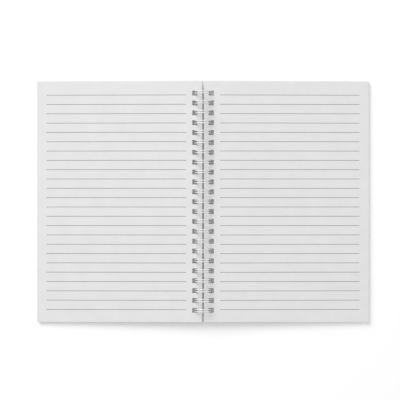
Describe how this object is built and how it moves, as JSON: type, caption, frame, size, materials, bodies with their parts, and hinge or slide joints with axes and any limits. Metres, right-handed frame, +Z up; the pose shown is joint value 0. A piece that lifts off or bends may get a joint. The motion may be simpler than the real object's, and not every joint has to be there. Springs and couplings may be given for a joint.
{
  "type": "open spiral notebook",
  "caption": "Twin-loop wire-bound ruled notebook lying open, with leaves and stiff covers that turn on the wire.",
  "frame": {"origin": "on the table, under the middle of the gutter between the two pages", "axes": "+X to the right across the right-hand page, +Y along the binding to the heads of the pages, +Z up out of the pages"},
  "size_m": [0.285, 0.2068, 0.014],
  "materials": {
    "wire": "smooth white plastic coating on steel wire",
    "paper": "matt uncoated writing paper with fine grey rule lines",
    "cover_board": "matt pale grey card"
  },
  "bodies": {
    "binding": {"binding_wire": "wire"},
    "front_cover": {"front_cover": "cover_board"},
    "front_leaves": {"front_leaves": "paper"},
    "back_cover": {"back_cover": "cover_board"},
    "rear_leaves": {"rear_leaves": "paper"}
  },
  "joints": [
    {"name": "front_cover_turn", "type": "hinge", "parent": "binding", "child": "front_cover", "pos_m": [0, 0, 0.00698], "axis": [0, 1, 0], "range_deg": [-9, 183.08]},
    {"name": "front_leaves_turn", "type": "hinge", "parent": "front_cover", "child": "front_leaves", "pos_m": [0, 0, 0.00698], "axis": [0, 1, 0], "range_deg": [0, 176.92]},
    {"name": "back_cover_turn", "type": "hinge", "parent": "binding", "child": "back_cover", "pos_m": [0, 0, 0.00698], "axis": [0, -1, 0], "range_deg": [-9, 183.08]},
    {"name": "rear_leaves_turn", "type": "hinge", "parent": "back_cover", "child": "rear_leaves", "pos_m": [0, 0, 0.00698], "axis": [0, -1, 0], "range_deg": [0, 176.92]}
  ]
}
